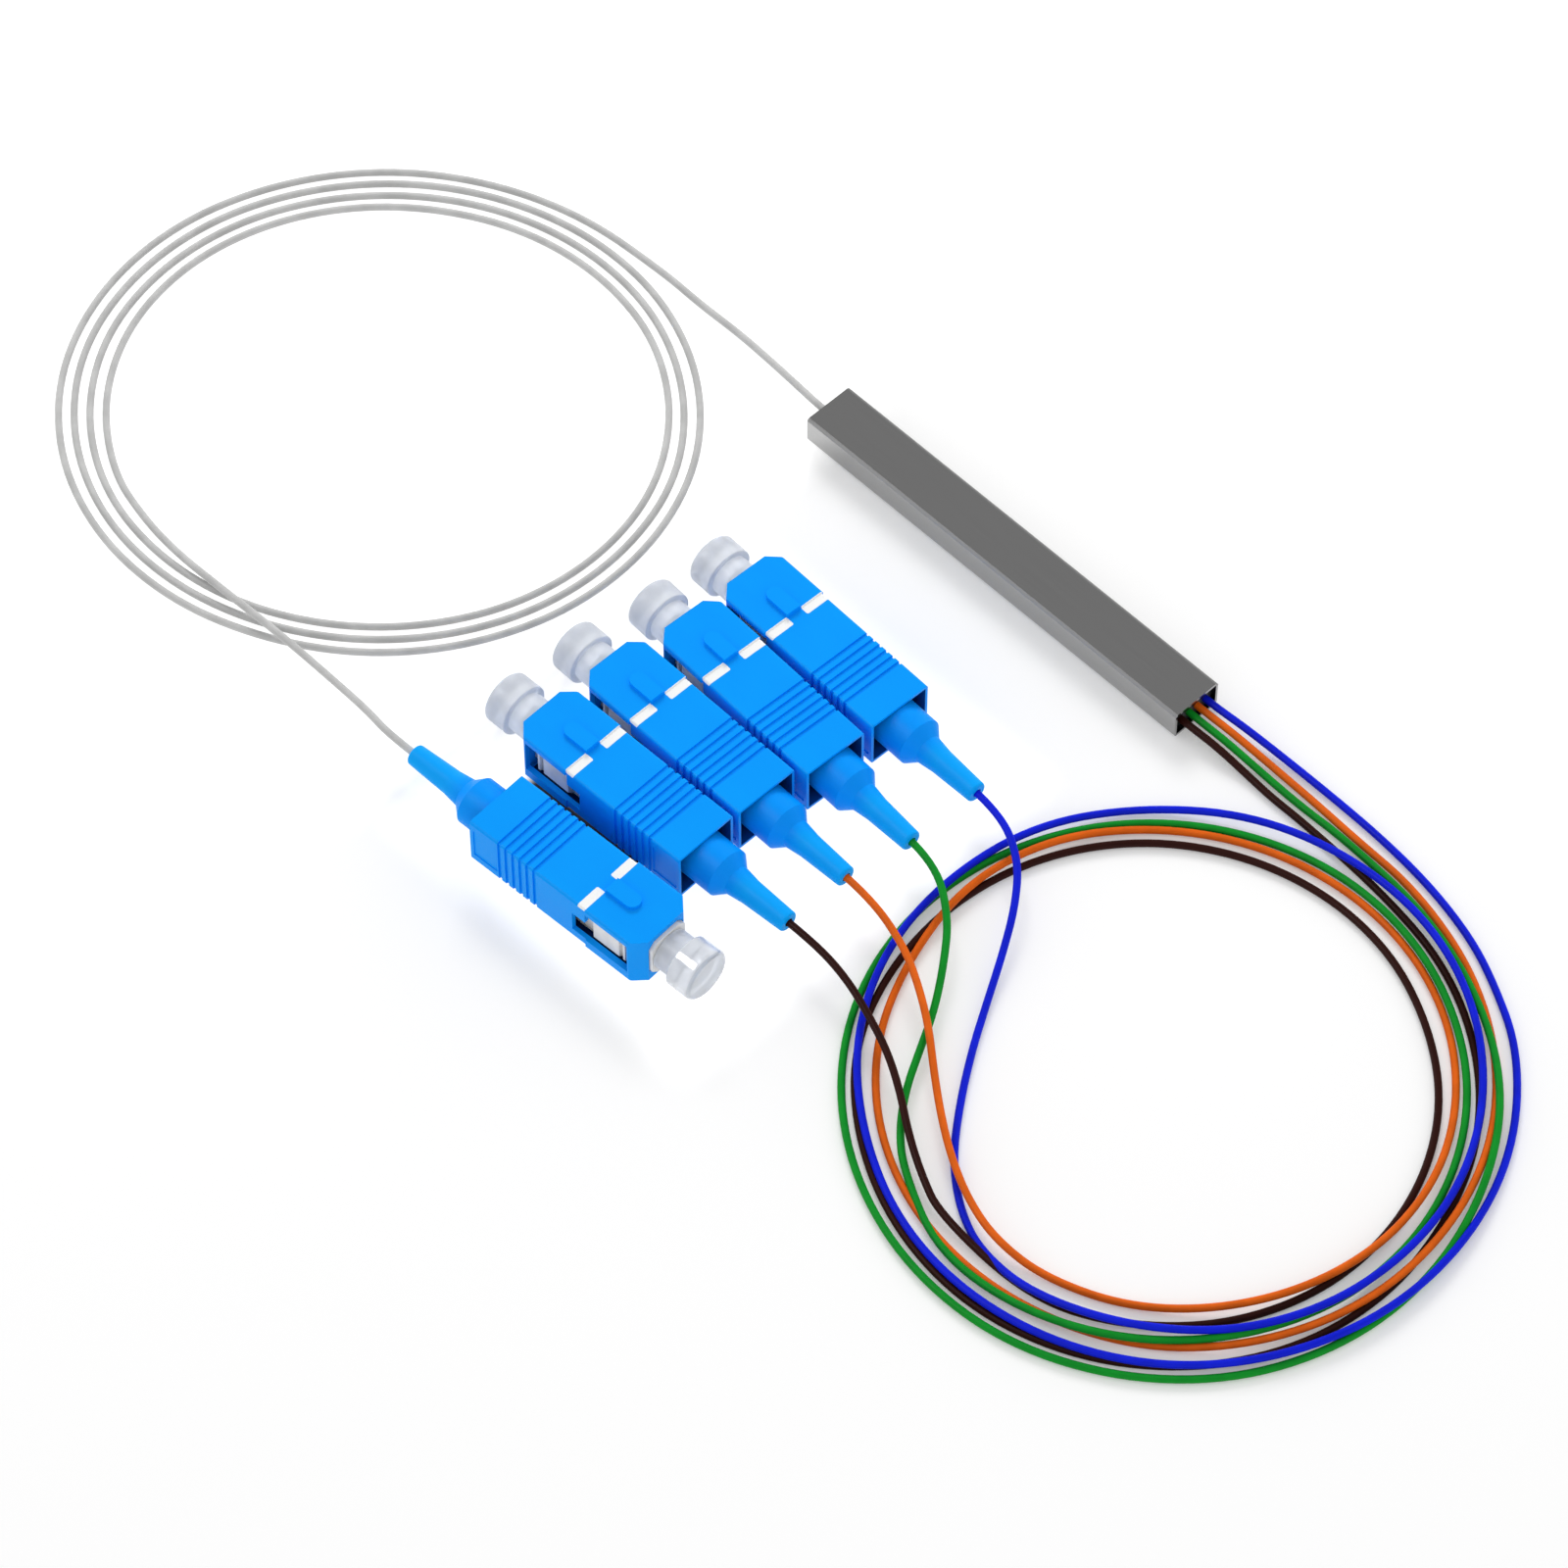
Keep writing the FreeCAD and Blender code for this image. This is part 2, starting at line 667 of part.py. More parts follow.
def boot_tip(plug):
    """The place of a plug's boot tip, and the level way out of it."""
    turn = math.radians(size(f"{plug}_turn"))
    way = Vector(math.cos(turn), math.sin(turn), 0)
    line = Vector(size(f"{plug}_x"), size(f"{plug}_y"), size("grip_height / 2"))
    return line + way * (size("boot_back") + size("cord_gap")), way


def coil_point(coil, angle):
    """A point on the middle line of a coil's outer turn."""
    turn = math.radians(angle)
    reach = size(f"{coil}_outer")
    return Vector(size(f"{coil}_x") + reach * math.cos(turn), size(f"{coil}_y") + reach * math.sin(turn),
                  size("fibre_diameter") / 2)


# Routes in millimetres: each lead from the sleeve to its coil, where it joins the outer turn at
# an angle in degrees, and each tail from its coil to its boot

LEADS = {
    "input": [(-35.5, 0.5, 1.6), (-41.0, 1.3, 0.75), (-47.0, 1.7, 0.45), (-53.5, 1.5, 0.45)],
    "blue": [(35.5, 2.5, 1.4), (41.5, 3.0, 0.65), (48.5, 3.1, 0.45), (56.0, 2.9, 0.45),
             (64.0, 2.1, 0.45), (71.5, 0.4, 0.45), (77.5, -2.0, 0.45)],
    "orange": [(35.5, 0.95, 1.4), (41.5, 1.2, 0.6), (48.0, 1.1, 0.45), (54.0, 0.75, 0.45)],
    "green": [(35.5, -0.45, 1.4), (41.0, -0.3, 0.6), (47.0, -0.4, 0.45)],
    "brown": [(35.0, -1.75, 1.4), (39.5, -1.65, 0.6), (44.0, -1.9, 0.45)],
}
JOIN_ANGLES = {"input": 78.0, "blue": 60.0, "orange": 95.0, "green": 104.0, "brown": 112.0}
TAILS = {
    "input": [(-75.0, -67.4, 0.6), (-68.5, -68.1, 1.0), (-61.5, -68.2, 1.75), (-50.5, -67.8, 2.0),
              (-40.5, -68.0, 2.4), (-35.0, -68.5, 3.3)],
    "blue": [(63.0, -68.2, 0.45), (57.6, -65.9, 0.45), (52.6, -61.9, 0.45), (48.2, -56.4, 0.45),
             (44.2, -50.5, 0.45), (40.9, -44.8, 0.6), (37.9, -39.3, 1.5), (34.8, -34.2, 2.6),
             (31.0, -29.9, 3.2)],
    "orange": [(63.5, -66.4, 1.4), (58.0, -65.0, 1.65), (52.9, -62.5, 1.75), (48.3, -59.5, 1.85),
               (43.8, -56.1, 2.1), (39.7, -52.8, 2.75), (35.4, -50.0, 2.95), (30.6, -47.5, 3.25)],
    "green": [(50.0, -67.0, 0.9), (46.2, -63.8, 1.3), (43.1, -59.7, 1.4), (40.6, -55.1, 1.4),
              (38.0, -50.2, 1.5), (34.6, -45.3, 2.3), (31.0, -41.0, 3.1)],
    "brown": [(57.0, -68.3, 0.9), (52.3, -66.4, 1.5), (47.8, -64.0, 2.3), (43.3, -60.9, 2.75),
              (38.7, -58.3, 2.85), (33.8, -56.5, 3.1), (28.9, -55.1, 3.5)],
}
FIBRE_ROWS = {"input": "0", "blue": "1.5 * fibre_pitch", "orange": "0.5 * fibre_pitch",
              "green": "-0.5 * fibre_pitch", "brown": "-1.5 * fibre_pitch"}


def make_fibre(plug):
    """A fibre's two free stretches, from the sleeve to its coil and from there to its boot."""
    side = -1 if plug == "input" else 1
    coil = "input_coil" if plug == "input" else "output_coil"
    exit_height = "input_exit_height" if plug == "input" else "output_exit_height"
    mouth = Vector(side * (size("sleeve_length / 2 - seal_inset - seal_hole_depth + cord_gap")),
                   size(FIBRE_ROWS[plug]), size(exit_height))
    outside = Vector(side * (size("sleeve_length / 2") + STRAIGHT_LEAD), mouth.y, mouth.z)
    lead = [mouth, outside] + [Vector(*point) for point in LEADS[plug]]
    make_cord(f"{plug}_lead", lead + [coil_point(coil, JOIN_ANGLES[plug])])
    tip, way = boot_tip(plug)
    tail = [Vector(*point) for point in TAILS[plug]]
    make_cord(f"{plug}_tail", tail + [tip + way * size("straight_exit"), tip])


# The whole splitter

make_sleeve()
make_seal("input_seal", -1, [FIBRE_ROWS["input"]], "input_exit_height")
make_seal("output_seal", 1, [FIBRE_ROWS[plug] for plug in PLUGS[1:]], "output_exit_height")
make_chip_parts()
for plug in PLUGS:
    for make_piece in (make_grip, make_frame, make_ferrule, make_collar, make_spring, make_stop,
                       make_boot, make_cap):
        make_piece(plug)
    make_fibre(plug)
make_coil("input_coil")
make_coil("output_coil")
doc.recompute()

for item in doc.Objects:
    if "Invalid" in item.State or "Error" in item.State:
        raise RuntimeError(f"{item.Name} failed: {item.State}")

# Pieces are the bodies, boxes, coils and fibres; a coil's own cylinders are only its tools
COIL_TOOLS = ("_rim", "_hole")
pieces = [item for item in doc.Objects
          if item.TypeId in ("PartDesign::Body", "Part::Box", "Part::Cut", "Part::Feature")
          and not item.Name.endswith(COIL_TOOLS)]
for piece in pieces:
    if piece.Shape.isNull() or not piece.Shape.isValid() or len(piece.Shape.Solids) != 1:
        raise RuntimeError(f"{piece.Label} is not one valid solid")
for piece in pieces:
    piece.Shape.exportStep(f"parts/{piece.Label}.step")
print(f"{len(pieces)} pieces written")
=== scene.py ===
import json
import math

import bpy
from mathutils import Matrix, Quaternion, Vector

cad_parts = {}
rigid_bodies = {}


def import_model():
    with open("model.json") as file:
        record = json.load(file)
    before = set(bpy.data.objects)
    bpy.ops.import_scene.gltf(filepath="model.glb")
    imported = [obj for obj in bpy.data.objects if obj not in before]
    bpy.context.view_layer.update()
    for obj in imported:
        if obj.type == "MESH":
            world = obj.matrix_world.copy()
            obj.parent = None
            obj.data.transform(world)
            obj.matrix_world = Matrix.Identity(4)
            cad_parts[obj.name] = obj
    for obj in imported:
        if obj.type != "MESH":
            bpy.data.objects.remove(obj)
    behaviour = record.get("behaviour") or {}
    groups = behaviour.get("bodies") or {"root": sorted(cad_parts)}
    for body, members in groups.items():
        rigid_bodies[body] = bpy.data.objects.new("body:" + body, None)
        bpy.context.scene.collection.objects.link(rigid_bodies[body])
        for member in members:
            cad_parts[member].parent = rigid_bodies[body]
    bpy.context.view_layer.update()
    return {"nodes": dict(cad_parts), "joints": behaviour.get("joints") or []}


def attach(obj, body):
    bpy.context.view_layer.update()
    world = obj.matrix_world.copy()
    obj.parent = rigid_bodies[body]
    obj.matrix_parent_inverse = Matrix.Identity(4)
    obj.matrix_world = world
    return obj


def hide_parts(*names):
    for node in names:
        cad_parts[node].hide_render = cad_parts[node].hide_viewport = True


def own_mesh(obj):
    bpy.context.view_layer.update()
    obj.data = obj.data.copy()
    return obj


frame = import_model()
nodes = frame["nodes"]
joints = {joint["name"]: joint for joint in frame["joints"]}
scene = bpy.context.scene

MM = 0.001
ORIGIN = (0.0, 0.0, 0.0)
ROOT = "splitter"
PLUGS = ("input", "brown", "orange", "green", "blue")

# Camera and photograph

# The camera was fitted to the photograph: what it looks at, its two angles and how far off it is
CAMERA_TARGET = Vector((3.5965, -39.9834, 0.0)) * MM
CAMERA_AZIMUTH = math.radians(45.78)
CAMERA_ELEVATION = math.radians(54.80)
CAMERA_DISTANCE = 800.0 * MM
CAMERA_LENS = 161.6
CAMERA_SENSOR = 36.0


def direction(azimuth, elevation):
    """The way from the target to a camera or lamp; azimuth 0 looks along +Y."""
    level = math.cos(elevation)
    return Vector((math.sin(azimuth) * level, -math.cos(azimuth) * level, math.sin(elevation)))


def add_camera():
    data = bpy.data.cameras.new("camera")
    data.lens = CAMERA_LENS
    data.sensor_width = CAMERA_SENSOR
    data.clip_start = 0.01
    camera = bpy.data.objects.new("camera", data)
    scene.collection.objects.link(camera)
    away = direction(CAMERA_AZIMUTH, CAMERA_ELEVATION)
    camera.location = CAMERA_TARGET + away * CAMERA_DISTANCE
    camera.rotation_euler = away.to_track_quat("Z", "Y").to_euler()
    scene.camera = camera


# Shader building


class Signal:
    """A shader socket that takes part in arithmetic."""

    def __init__(self, paint, socket):
        self.paint = paint
        self.socket = socket

    def math(self, operation, *others):
        inputs = dict(enumerate((self, *others)))
        return self.paint.node("Math", {"operation": operation}, inputs)

    def __add__(self, other):
        return self.math("ADD", other)

    __radd__ = __add__

    def __mul__(self, other):
        return self.math("MULTIPLY", other)

    __rmul__ = __mul__

    def __sub__(self, other):
        return self.math("SUBTRACT", other)

    def __rsub__(self, other):
        return self.paint.node("Math", {"operation": "SUBTRACT"}, {0: other, 1: self})

    def __truediv__(self, other):
        return self.math("DIVIDE", other)

    def __abs__(self):
        return self.math("ABSOLUTE")

    def under(self, limit):
        return self.math("LESS_THAN", limit)

    def over(self, limit):
        return self.math("GREATER_THAN", limit)

    def at_least(self, limit):
        return self.math("MAXIMUM", limit)

    def ramp(self, low, high, bottom=0.0, top=1.0):
        """Rises smoothly from bottom to top as the signal goes from low to high."""
        return self.paint.node("MapRange", {"interpolation_type": "SMOOTHSTEP"},
                               {"Value": self, "From Min": low, "From Max": high,
                                "To Min": bottom, "To Max": top})


class Paint:
    """One material and the nodes that it is made of."""

    def __init__(self, name):
        self.material = bpy.data.materials.new(name)
        self.material.use_nodes = True
        self.tree = self.material.node_tree
        self.tree.nodes.clear()
        self.objects = self.node("TexCoord", output="Object")

    def node(self, kind, settings=None, inputs=None, output=0):
        """A new node of one type: its settings first, then its sockets' values or links."""
        made = self.tree.nodes.new(f"ShaderNode{kind}")
        for name, value in (settings or {}).items():
            setattr(made, name, value)
        for name, value in (inputs or {}).items():
            if isinstance(value, Signal):
                self.tree.links.new(value.socket, made.inputs[name])
            else:
                made.inputs[name].default_value = value
        return Signal(self, made.outputs[output])

    def local(self, place=ORIGIN, turn=0.0, scale=(1.0, 1.0, 1.0)):
        """Coordinates in millimetres from a place, along a turned X axis, stretched by a scale."""
        return self.node("Mapping", {"vector_type": "TEXTURE"},
                         {"Vector": self.objects, "Location": place, "Rotation": (0, 0, turn),
                          "Scale": tuple(MM * side for side in scale)})

    def axes(self, vector):
        parts = self.tree.nodes.new("ShaderNodeSeparateXYZ")
        self.tree.links.new(vector.socket, parts.inputs[0])
        return [Signal(self, output) for output in parts.outputs]

    def noise(self, vector, scale, detail=3.0, rough=0.5):
        return self.node("TexNoise", None, {"Vector": vector, "Scale": scale, "Detail": detail,
                                            "Roughness": rough})

    def blend(self, factor, first, second):
        """Goes from the first colour to the second as the factor rises."""
        made = self.tree.nodes.new("ShaderNodeMix")
        made.data_type = "RGBA"
        for socket, value in ((made.inputs["Factor"], factor), (made.inputs["A"], first),
                              (made.inputs["B"], second)):
            self.feed(socket, value)
        return Signal(self, [item for item in made.outputs if item.type == "RGBA"][0])

    def feed(self, socket, value):
        if isinstance(value, Signal):
            self.tree.links.new(value.socket, socket)
        elif isinstance(value, tuple) and len(value) == 3:
            socket.default_value = (*value, 1.0)
        else:
            socket.default_value = value

    def bump(self, height, distance, strength=1.0):
        return self.node("Bump", None, {"Height": height, "Distance": distance,
                                        "Strength": strength}, output="Normal")

    def surface(self, colour, roughness, normal, others=None):
        """The finished surface; others are more of the shader's own sockets."""
        shader = self.tree.nodes.new("ShaderNodeBsdfPrincipled")
        self.feed(shader.inputs["Base Color"], colour)
        self.feed(shader.inputs["Roughness"], roughness)
        self.feed(shader.inputs["Normal"], normal)
        for name, value in (others or {}).items():
            self.feed(shader.inputs[name], value)
        result = self.tree.nodes.new("ShaderNodeOutputMaterial")
        self.tree.links.new(shader.outputs[0], result.inputs["Surface"])
        return self.material


def dress(node, material):
    """Give a solid of the frame its finish."""
    slots = nodes[node].material_slots
    for slot in slots:
        slot.material = material


# Where each plug lies

# Lengths on a plug in millimetres, from its painted line towards the boot
GRIP_BACK = 17.4
HALF_GRIP_HEIGHT = 3.7
BOOT_BACK = 30.3


class Plug:
    """One plug: the middle of its painted line on its own axis, and its way to the boot."""

    def __init__(self, name):
        self.name = name
        self.way = Vector(joints[f"{name}_grip_slide"]["axis"]).normalized()
        self.side = Vector((-self.way.y, self.way.x, 0.0))
        self.turn = math.atan2(self.way.y, self.way.x)
        corners = [vertex.co for vertex in nodes[f"{name}_grip"].data.vertices]
        back = max(corner.dot(self.way) for corner in corners)
        across = [corner.dot(self.side) for corner in corners]
        middle = (min(across) + max(across)) / 2
        self.line = self.way * (back - GRIP_BACK * MM) + self.side * middle
        self.line.z = HALF_GRIP_HEIGHT * MM

    def at(self, along, across=0.0, up=0.0):
        place = self.line + self.way * (along * MM) + self.side * (across * MM)
        return place + Vector((0.0, 0.0, up * MM))


plugs = {name: Plug(name) for name in PLUGS}

# Fibres

FIBRE = 0.9
# Where a fibre starts inside the tube, and a first point just outside, from the tube's middle
MOUTH = 27.42
PAST_MOUTH = 31.0
EXIT_HEIGHTS = {"input": 2.0, "brown": 1.7, "orange": 1.7, "green": 1.7, "blue": 1.7}
ROWS = {"input": 0.0, "brown": -2.025, "orange": 0.675, "green": -0.675, "blue": 2.025}
STRAIGHT_EXIT = 4.0
CORD_GAP = 0.02
# How far a fibre reaches into its boot, in millimetres
IN_BOOT = 1.0
STEP = math.radians(20.0)

# Routes in millimetres, from the tube to the coil and from the coil to the boot
LEADS = {
    "input": [(-35.5, 0.5, 1.6), (-41.0, 1.3, 0.75), (-47.0, 1.7, 0.45), (-53.5, 1.5, 0.45)],
    "blue": [(35.5, 2.5, 1.4), (41.5, 3.0, 0.65), (48.5, 3.1, 0.45), (56.0, 2.9, 0.45),
             (64.0, 2.1, 0.45), (71.5, 0.4, 0.45), (77.5, -2.0, 0.45)],
    "orange": [(35.5, 0.95, 1.4), (41.5, 1.2, 0.6), (48.0, 1.1, 0.45), (54.0, 0.75, 0.45)],
    "green": [(35.5, -0.45, 1.4), (41.0, -0.3, 0.6), (47.0, -0.4, 0.45)],
    "brown": [(35.0, -1.75, 1.4), (39.5, -1.65, 0.6), (44.0, -1.9, 0.45)],
}
TAILS = {
    "input": [(-75.0, -67.4, 0.6), (-68.5, -68.1, 1.0), (-61.5, -68.2, 1.75), (-50.5, -67.8, 2.0),
              (-40.5, -68.0, 2.4), (-35.0, -68.5, 3.3)],
    "blue": [(63.0, -68.2, 0.45), (57.6, -65.9, 0.45), (52.6, -61.9, 0.45), (48.2, -56.4, 0.45),
             (44.2, -50.5, 0.45), (40.9, -44.8, 0.6), (37.9, -39.3, 1.5), (34.8, -34.2, 2.6),
             (31.0, -29.9, 3.2)],
    "orange": [(63.5, -66.4, 1.4), (58.0, -65.0, 1.65), (52.9, -62.5, 1.75), (48.3, -59.5, 1.85),
               (43.8, -56.1, 2.1), (39.7, -52.8, 2.75), (35.4, -50.0, 2.95), (30.6, -47.5, 3.25)],
    "green": [(50.0, -67.0, 0.9), (46.2, -63.8, 1.3), (43.1, -59.7, 1.4), (40.6, -55.1, 1.4),
              (38.0, -50.2, 1.5), (34.6, -45.3, 2.3), (31.0, -41.0, 3.1)],
    "brown": [(57.0, -68.3, 0.9), (52.3, -66.4, 1.5), (47.8, -64.0, 2.3), (43.3, -60.9, 2.75),
              (38.7, -58.3, 2.85), (33.8, -56.5, 3.1), (28.9, -55.1, 3.5)],
}
COIL_CENTRES = {"input": (-68.0, -36.7), "output": (62.8, -37.6)}
# The loose turns of each coil: floor angle in degrees and reach from the coil's middle
TURNS = {
    "input": [(78, 38.7), (90, 37.6), (120, 36.5), (150, 36.7), (180, 37.9), (210, 38.5),
              (240, 37.6), (270, 36.1), (300, 35.0), (330, 35.6), (360, 37.0), (390, 38.0),
              (420, 37.4), (450, 35.8), (480, 34.7), (510, 34.9), (540, 36.0), (570, 36.6),
              (600, 35.8), (630, 34.3), (660, 33.2), (690, 33.8), (720, 35.1), (750, 36.1),
              (780, 35.5), (810, 34.0), (840, 32.9), (870, 33.1), (900, 34.1), (930, 34.7),
              (960, 34.0), (990, 32.5), (1020, 31.5), (1050, 31.9), (1080, 33.3), (1110, 34.3),
              (1140, 33.8), (1170, 32.2), (1200, 31.1), (1230, 31.3), (1260, 32.3), (1290, 32.8),
              (1322, 32.0)],
    "blue": [(52, 38.0), (15, 36.9), (-30, 36.4), (-75, 35.9), (-120, 34.5), (-165, 35.7),
             (-210, 37.0), (-255, 36.1), (-300, 34.4), (-345, 33.1), (-390, 32.8), (-435, 31.5)],
    "orange": [(88, 37.5), (60, 35.9), (15, 34.6), (-30, 34.1), (-75, 33.0), (-120, 32.8),
               (-165, 33.0), (-195, 34.7), (-225, 34.0), (-255, 32.8), (-315, 31.0),
               (-345, 30.5), (-390, 29.2), (-435, 28.6)],
    "green": [(104, 38.0), (75, 35.1), (45, 35.8), (15, 36.0), (-30, 37.6), (-75, 37.8),
              (-120, 36.8), (-165, 36.4), (-210, 35.4), (-255, 34.1), (-285, 32.4),
              (-345, 32.1), (-390, 33.0), (-435, 33.9), (-455, 33.6)],
    "brown": [(112, 38.0), (94, 34.7), (60, 33.6), (15, 33.7), (-30, 35.8), (-75, 36.5),
              (-120, 35.2), (-142, 35.2), (-165, 34.1), (-210, 32.8), (-255, 30.8), (-300, 29.0),
              (-345, 29.3), (-390, 30.7), (-435, 31.6)],
}
# The order in which the coloured fibres were laid, lowest first: fibre and stretch of angle
LAYING = (
    ("brown", 112, -95), ("orange", 95, -180), ("brown", -95, -255), ("green", 104, -255),
    ("orange", -180, -280), ("blue", 60, -300), ("brown", -255, -500), ("orange", -280, -340),
    ("green", -255, -500), ("blue", -300, -500), ("orange", -340, -500),
)
FIBRE_COLOURS = {
    "input": (0.56, 0.56, 0.555),
    "brown": (0.030, 0.006, 0.004),
    "orange": (0.78, 0.130, 0.007),
    "green": (0.004, 0.285, 0.022),
    "blue": (0.004, 0.014, 0.700),
}
# How far a jacket's rims go pale
RIM_GLOW = {"input": 1.0, "brown": 0.0, "orange": 0.0, "green": 0.0, "blue": 0.0}
# A quadratic spline passes inside its control points on a circle by this share
SPLINE_SHARE = (3.0 + math.cos(STEP)) / 4.0


def reach_at(turns, angle):
    """A loose turn's reach at an angle, between the two stations next to it."""
    for (before, first), (after, second) in zip(turns, turns[1:]):
        if min(before, after) <= angle <= max(before, after):
            share = (angle - before) / (after - before)
            return first + (second - first) * share
    raise ValueError(f"no station at {angle} degrees")


def coil_place(fibre, angle):
    """A point of a loose turn in plan."""
    centre = COIL_CENTRES["input" if fibre == "input" else "output"]
    reach = reach_at(TURNS[fibre], angle)
    turn = math.radians(angle)
    return centre[0] + reach * math.cos(turn), centre[1] + reach * math.sin(turn)


def coil_angles(fibre):
    """The angles of a fibre's control points on its coil, about twenty degrees apart."""
    first, last = TURNS[fibre][0][0], TURNS[fibre][-1][0]
    count = math.ceil(abs(last - first) / math.degrees(STEP))
    return [first + (last - first) * index / count for index in range(count + 1)]


class Pile:
    """The fibres that already lie in the coil, by which the next one knows how high it goes."""

    SAMPLES = 8

    def __init__(self):
        self.laid = []

    def height(self, fibre, x, y):
        """How high a fibre's middle is where it lies at a point on whatever is there."""
        height = FIBRE / 2
        for other, u, v, w in self.laid:
            gap = math.hypot(x - u, y - v)
            if other != fibre and gap < FIBRE:
                height = max(height, w + math.sqrt(FIBRE ** 2 - gap ** 2))
        return height

    def add(self, fibre, angles, heights):
        for pair in zip(angles, angles[1:], heights, heights[1:]):
            before, after, low, high = pair
            for index in range(self.SAMPLES):
                share = index / self.SAMPLES
                x, y = coil_place(fibre, before + (after - before) * share)
                self.laid.append((fibre, x, y, low + (high - low) * share))


def coil_heights():
    """Each coloured fibre's height at its control points, laid one stretch after another."""
    pile = Pile()
    heights = {fibre: {} for fibre in PLUGS[1:]}
    spread = math.degrees(STEP)
    shares = range(-Pile.SAMPLES, Pile.SAMPLES + 1)
    for fibre, start, end in LAYING:
        angles = [angle for angle in coil_angles(fibre) if start >= angle > end]
        first, last = TURNS[fibre][0][0], TURNS[fibre][-1][0]
        for angle in angles:
            near = [angle + spread * share / Pile.SAMPLES for share in shares]
            places = [coil_place(fibre, max(last, min(first, item))) for item in near]
            heights[fibre][angle] = max(pile.height(fibre, x, y) for x, y in places)
        done = [angle for angle in heights[fibre] if angle >= angles[0]]
        joined = sorted(set(done[-1:] + angles), reverse=True)
        pile.add(fibre, joined, [heights[fibre][angle] for angle in joined])
    return heights


def coil_points(fibre, heights):
    """The control points of a fibre's turns."""
    centre = Vector((*COIL_CENTRES["input" if fibre == "input" else "output"], 0.0))
    points = []
    for angle in coil_angles(fibre):
        x, y = coil_place(fibre, angle)
        place = centre + (Vector((x, y, 0.0)) - centre) / SPLINE_SHARE
        place.z = heights[angle] if heights else FIBRE / 2
        points.append(place)
    return points


def fibre_points(plug, heights):
    """All the control points of one fibre, in millimetres, from the tube to inside its boot."""
    side = -1.0 if plug.name == "input" else 1.0
    row, exit_height = ROWS[plug.name], EXIT_HEIGHTS[plug.name]
    points = [Vector((side * along, row, exit_height)) for along in (MOUTH, PAST_MOUTH)]
    points += [Vector(point) for point in LEADS[plug.name]]
    points += coil_points(plug.name, heights)
    points += [Vector(point) for point in TAILS[plug.name]]
    for along in (BOOT_BACK + CORD_GAP + STRAIGHT_EXIT, BOOT_BACK - IN_BOOT):
        points.append(plug.at(along) / MM)
    return points


def add_fibre(plug, heights, material):
    """One fibre as a smooth line of its own thickness."""
    points = fibre_points(plug, heights)
    curve = bpy.data.curves.new(f"{plug.name}_fibre", "CURVE")
    curve.dimensions = "3D"
    curve.bevel_depth = FIBRE / 2 * MM
    curve.bevel_resolution = 4
    curve.resolution_u = 8
    curve.use_fill_caps = True
    spline = curve.splines.new("NURBS")
    spline.points.add(len(points) - 1)
    for point, place in zip(spline.points, points):
        point.co = (*(place * MM), 1.0)
    spline.order_u = 3
    spline.use_endpoint_u = True
    curve.materials.append(material)
    fibre = bpy.data.objects.new(f"{plug.name}_fibre", curve)
    scene.collection.objects.link(fibre)
    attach(fibre, ROOT)
    coil = "input_coil" if plug.name == "input" else "output_coil"
    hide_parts(f"{plug.name}_lead", f"{plug.name}_tail", coil)
    tuple(points[0] * MM)


def fibre_finish(name, colour):
    """Extruded plastic jacket: even colour, faint cloudiness and a fine skin."""
    paint = Paint(f"{name}_jacket")
    place = paint.local()
    cloud = paint.noise(place, 0.35, 2.0)
    skin = paint.noise(place, 6.0, 2.0)
    darker = tuple(part * 0.86 for part in colour)
    shade = paint.blend(cloud.ramp(0.3, 0.7), darker, colour)
    return paint.surface(shade, cloud.ramp(0.3, 0.7, 0.38, 0.5), paint.bump(skin, 0.01 * MM, 0.5),
                         {"Specular IOR Level": 0.08, "Sheen Weight": RIM_GLOW[name],
                          "Sheen Roughness": 0.35})


# Plug finishes

GRIP_BLUE = (0.001, 0.335, 0.990)
GRIP_DEEP = (0.001, 0.315, 0.975)
# The painted shade inside the grip's hollow
GRIP_PAINTED_SHADE = (0.0, 0.020, 0.110)
PRINT_WHITE = (0.93, 0.94, 0.94)
# How the plastic's flow marks are drawn out along the plug, in millimetres
FLOW_STRETCH = (18.0, 7.0, 7.0)
# Where the painted shade on the grip's inner faces begins, at its window and in its wider back
# opening
HOLLOW_HALF_WIDTH = 3.8
HOLLOW_HALF_HEIGHT = 3.0
TAIL_FRONT = 12.95
TAIL_MORE = 0.2
CORNER_BACK = -6.8
# The printed dashes on the grip's top, in millimetres on the plug
DASH_INNER = 1.05
DASH_OUTER = 4.42
DASH_MIDDLE = 0.16
DASH_HALF_LENGTH = 0.62
DASH_CORNER = 0.22
PRINT_DEPTH = 0.45


def printed_dashes(paint, x, y, z):
    """One inside the two dashes printed across the grip's top, slightly worn at their rims."""
    middle = (DASH_INNER + DASH_OUTER) / 2
    half = (DASH_OUTER - DASH_INNER) / 2
    wobble = paint.noise(paint.objects, 2500.0, 2.0) - 0.5
    across = (abs(abs(y) - middle) - (half - DASH_CORNER)).at_least(0.0)
    along = (abs(x - DASH_MIDDLE) - (DASH_HALF_LENGTH - DASH_CORNER)).at_least(0.0)
    away = (across * across + along * along).math("SQRT") + wobble * 0.06
    top = z.over(HALF_GRIP_HEIGHT - PRINT_DEPTH)
    return away.ramp(DASH_CORNER + 0.02, DASH_CORNER - 0.04) * top


